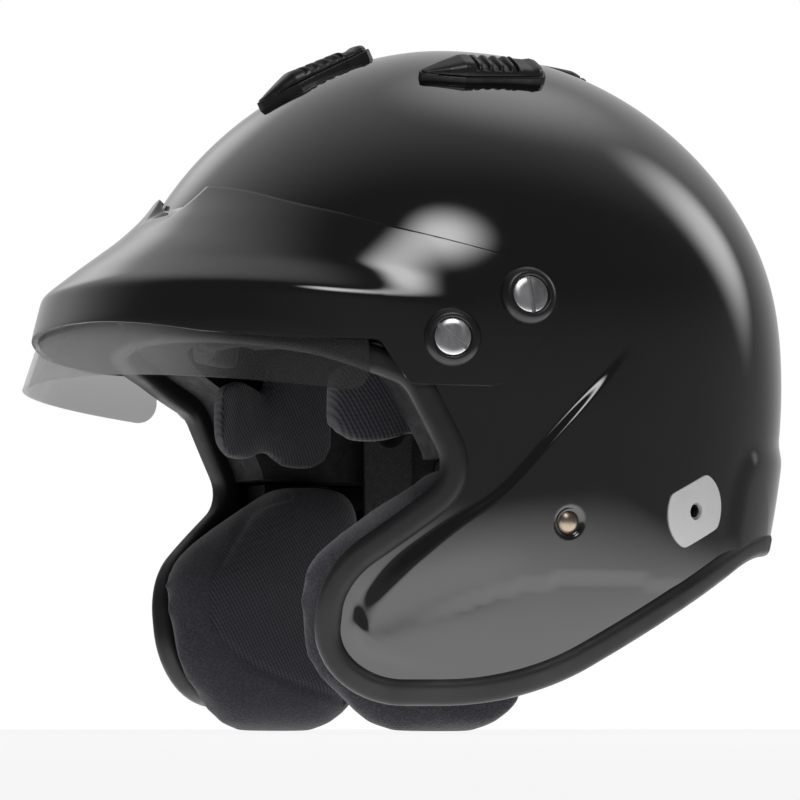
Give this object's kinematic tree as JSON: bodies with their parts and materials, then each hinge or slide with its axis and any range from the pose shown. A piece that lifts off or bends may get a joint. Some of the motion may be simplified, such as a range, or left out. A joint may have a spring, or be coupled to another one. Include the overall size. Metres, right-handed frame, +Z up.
{
  "type": "auto racing helmet",
  "caption": "Open-face auto racing helmet with a vented peak, smoked sun strip, cheek pads, sliding vents and side anchors.",
  "frame": {"origin": "bounding box's middle in X and Y, on the ground below the helmet", "axes": "+Z up towards the crown, -Y the way the wearer looks, +X the wearer's left"},
  "size_m": [0.2536, 0.3023, 0.2742],
  "materials": {
    "gloss_black": "gloss lacquer",
    "edge_rubber": "matte",
    "foam": "fine grained",
    "knit": "ribbed and smooth knit",
    "smoked": "smoked, translucent",
    "aluminium": "satin",
    "bronze": "antique, satin",
    "steel": "satin",
    "black_plastic": "semi-gloss",
    "webbing": "woven",
    "label": "blank satin foil"
  },
  "bodies": {
    "helmet": {"outer_shell": "gloss_black", "face_trim": "edge_rubber", "base_trim": "edge_rubber", "eps_liner": "foam", "crown_pad": "knit", "brow_pad": "knit", "neck_roll": "knit", "temple_pad_left": "knit", "temple_pad_right": "knit", "cheek_core_left": "foam", "cheek_core_right": "foam", "cheek_pad_left": "knit", "cheek_pad_right": "knit", "cheek_pad_snaps": "black_plastic", "peak": "gloss_black", "sun_strip": "smoked", "peak_rings": "black_plastic", "peak_screws": "aluminium", "peak_inserts": "aluminium", "strap_rivets": "bronze", "rivet_washers": "black_plastic", "strap_spacers": "steel", "strap_hangers": "steel", "strap_left": "webbing", "strap_right": "webbing", "strap_snap": "black_plastic", "tether_anchors": "steel", "anchor_labels": "label", "vent_base_front": "black_plastic", "vent_base_left": "black_plastic", "vent_base_rear": "black_plastic", "vent_base_right": "black_plastic"},
    "slider_front": {"vent_slider_front": "black_plastic"},
    "slider_left": {"vent_slider_left": "black_plastic"},
    "slider_rear": {"vent_slider_rear": "black_plastic"},
    "slider_right": {"vent_slider_right": "black_plastic"},
    "d_rings": {"d_ring_outer": "steel", "d_ring_inner": "steel"}
  },
  "joints": [
    {"name": "vent_slide_front", "type": "slide", "parent": "helmet", "child": "slider_front", "axis": [0, 0.8951, 0.4459], "range_m": [0, 0.006]},
    {"name": "vent_slide_left", "type": "slide", "parent": "helmet", "child": "slider_left", "axis": [0.0311, 0.998, 0.0543], "range_m": [0, 0.006]},
    {"name": "vent_slide_rear", "type": "slide", "parent": "helmet", "child": "slider_rear", "axis": [0, 0.897, -0.442], "range_m": [0, 0.006]},
    {"name": "vent_slide_right", "type": "slide", "parent": "helmet", "child": "slider_right", "axis": [-0.0311, 0.998, 0.0543], "range_m": [0, 0.006]},
    {"name": "d_ring_hinge", "type": "hinge", "parent": "helmet", "child": "d_rings", "pos_m": [0.074, 0.02777, 0.1], "axis": [0, 1, 0], "range_deg": [0, 120]}
  ]
}
